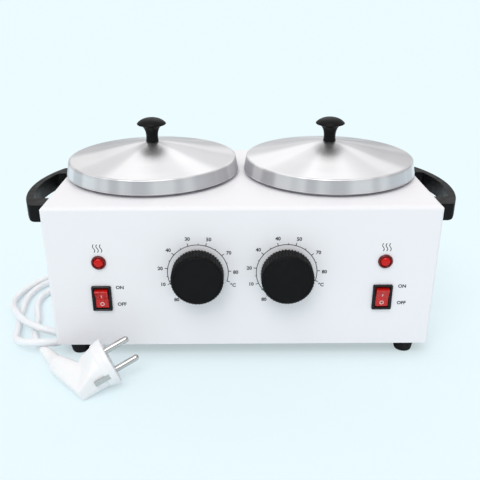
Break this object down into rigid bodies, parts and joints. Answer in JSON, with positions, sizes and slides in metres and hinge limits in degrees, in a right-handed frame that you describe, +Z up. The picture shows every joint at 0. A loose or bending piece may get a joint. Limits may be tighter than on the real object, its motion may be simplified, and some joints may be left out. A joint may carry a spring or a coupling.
{
  "type": "double-pot wax warmer",
  "caption": "Rectangular sheet-metal cabinet on rubber feet with two round heated wells, lift-out pots with domed lids, dial thermostats, rocker switches, side handles and a mains lead.",
  "frame": {"origin": "on the floor under the middle of the warmer, measured with its handles and dials but without the free lead and plug", "axes": "+X to the right along the cabinet's length, +Y to the back, -Y the side with the controls, +Z up"},
  "size_m": [0.3925, 0.3135, 0.1729],
  "materials": {
    "cabinet_white": "smooth gloss enamel",
    "plain_steel": "bare zinc-plated sheet",
    "screw_steel": "nickel-plated",
    "rubber_black": "matt",
    "black_plastic": "satin phenolic or ABS",
    "well_aluminium": "spun, bare",
    "insulation": "ceramic wool sleeve",
    "pot_aluminium": "spun, satin",
    "lid_aluminium": "spun, circularly brushed",
    "capillary_copper": "bare copper",
    "switch_black": "gloss",
    "rocker_red": "translucent red, gloss",
    "lamp_bezel_red": "dark red, gloss",
    "lamp_lens_red": "bright red, gloss",
    "terminal_ivory": "moulded",
    "wire_brown": "insulated cores",
    "cord_white": "soft white sheath",
    "plug_white": "moulded, semi-gloss",
    "pin_nickel": "nickel-plated brass"
  },
  "bodies": {
    "cabinet": {"housing": "cabinet_white", "base_plate": "plain_steel", "earth_stud": "plain_steel", "left_heater_band": "plain_steel", "right_heater_band": "plain_steel", "left_thermostat": "plain_steel", "right_thermostat": "plain_steel", "base_screws": "screw_steel", "foot_screws": "screw_steel", "handle_screws": "screw_steel", "thermostat_screws": "screw_steel", "terminal_screws": "screw_steel", "rubber_feet": "rubber_black", "left_handle": "black_plastic", "right_handle": "black_plastic", "left_well": "well_aluminium", "right_well": "well_aluminium", "left_insulation": "insulation", "right_insulation": "insulation", "left_capillary": "capillary_copper", "right_capillary": "capillary_copper", "thermal_fuses": "capillary_copper", "left_switch_body": "switch_black", "right_switch_body": "switch_black", "left_lamp_body": "lamp_bezel_red", "right_lamp_body": "lamp_bezel_red", "left_lamp_lens": "lamp_lens_red", "right_lamp_lens": "lamp_lens_red", "terminal_block": "terminal_ivory", "wiring": "wire_brown", "cord_gland": "cord_white", "cord_rear": "cord_white", "cord_coil": "cord_white", "cord_front": "cord_white", "plug_body": "plug_white", "plug_pins": "pin_nickel", "plug_earth_clips": "pin_nickel"},
    "pot_left": {"left_pot": "pot_aluminium"},
    "pot_right": {"right_pot": "pot_aluminium"},
    "lid_left": {"left_lid": "lid_aluminium", "left_lid_knob": "black_plastic", "left_lid_screw": "screw_steel"},
    "lid_right": {"right_lid": "lid_aluminium", "right_lid_knob": "black_plastic", "right_lid_screw": "screw_steel"},
    "dial_left": {"left_dial_knob": "black_plastic", "left_dial_shaft": "screw_steel"},
    "dial_right": {"right_dial_knob": "black_plastic", "right_dial_shaft": "screw_steel"},
    "rocker_left": {"left_rocker": "rocker_red"},
    "rocker_right": {"right_rocker": "rocker_red"}
  },
  "joints": [
    {"name": "left_pot_lift", "type": "slide", "parent": "cabinet", "child": "pot_left", "axis": [0, 0, 1], "range_m": [0, 0.1]},
    {"name": "left_lid_lift", "type": "slide", "parent": "pot_left", "child": "lid_left", "axis": [0, 0, 1], "range_m": [0, 0.08]},
    {"name": "left_dial_turn", "type": "hinge", "parent": "cabinet", "child": "dial_left", "pos_m": [-0.0336, -0.0825, 0.074], "axis": [0, 1, 0], "range_deg": [0, 240]},
    {"name": "left_rocker_tilt", "type": "hinge", "parent": "cabinet", "child": "rocker_left", "pos_m": [-0.1078, -0.0735, 0.0528], "axis": [1, 0, 0], "range_deg": [-22, 0]},
    {"name": "right_pot_lift", "type": "slide", "parent": "cabinet", "child": "pot_right", "axis": [0, 0, 1], "range_m": [0, 0.1]},
    {"name": "right_lid_lift", "type": "slide", "parent": "pot_right", "child": "lid_right", "axis": [0, 0, 1], "range_m": [0, 0.08]},
    {"name": "right_dial_turn", "type": "hinge", "parent": "cabinet", "child": "dial_right", "pos_m": [0.0336, -0.0825, 0.074], "axis": [0, 1, 0], "range_deg": [0, 240]},
    {"name": "right_rocker_tilt", "type": "hinge", "parent": "cabinet", "child": "rocker_right", "pos_m": [0.1078, -0.0735, 0.0528], "axis": [1, 0, 0], "range_deg": [-22, 0]}
  ]
}
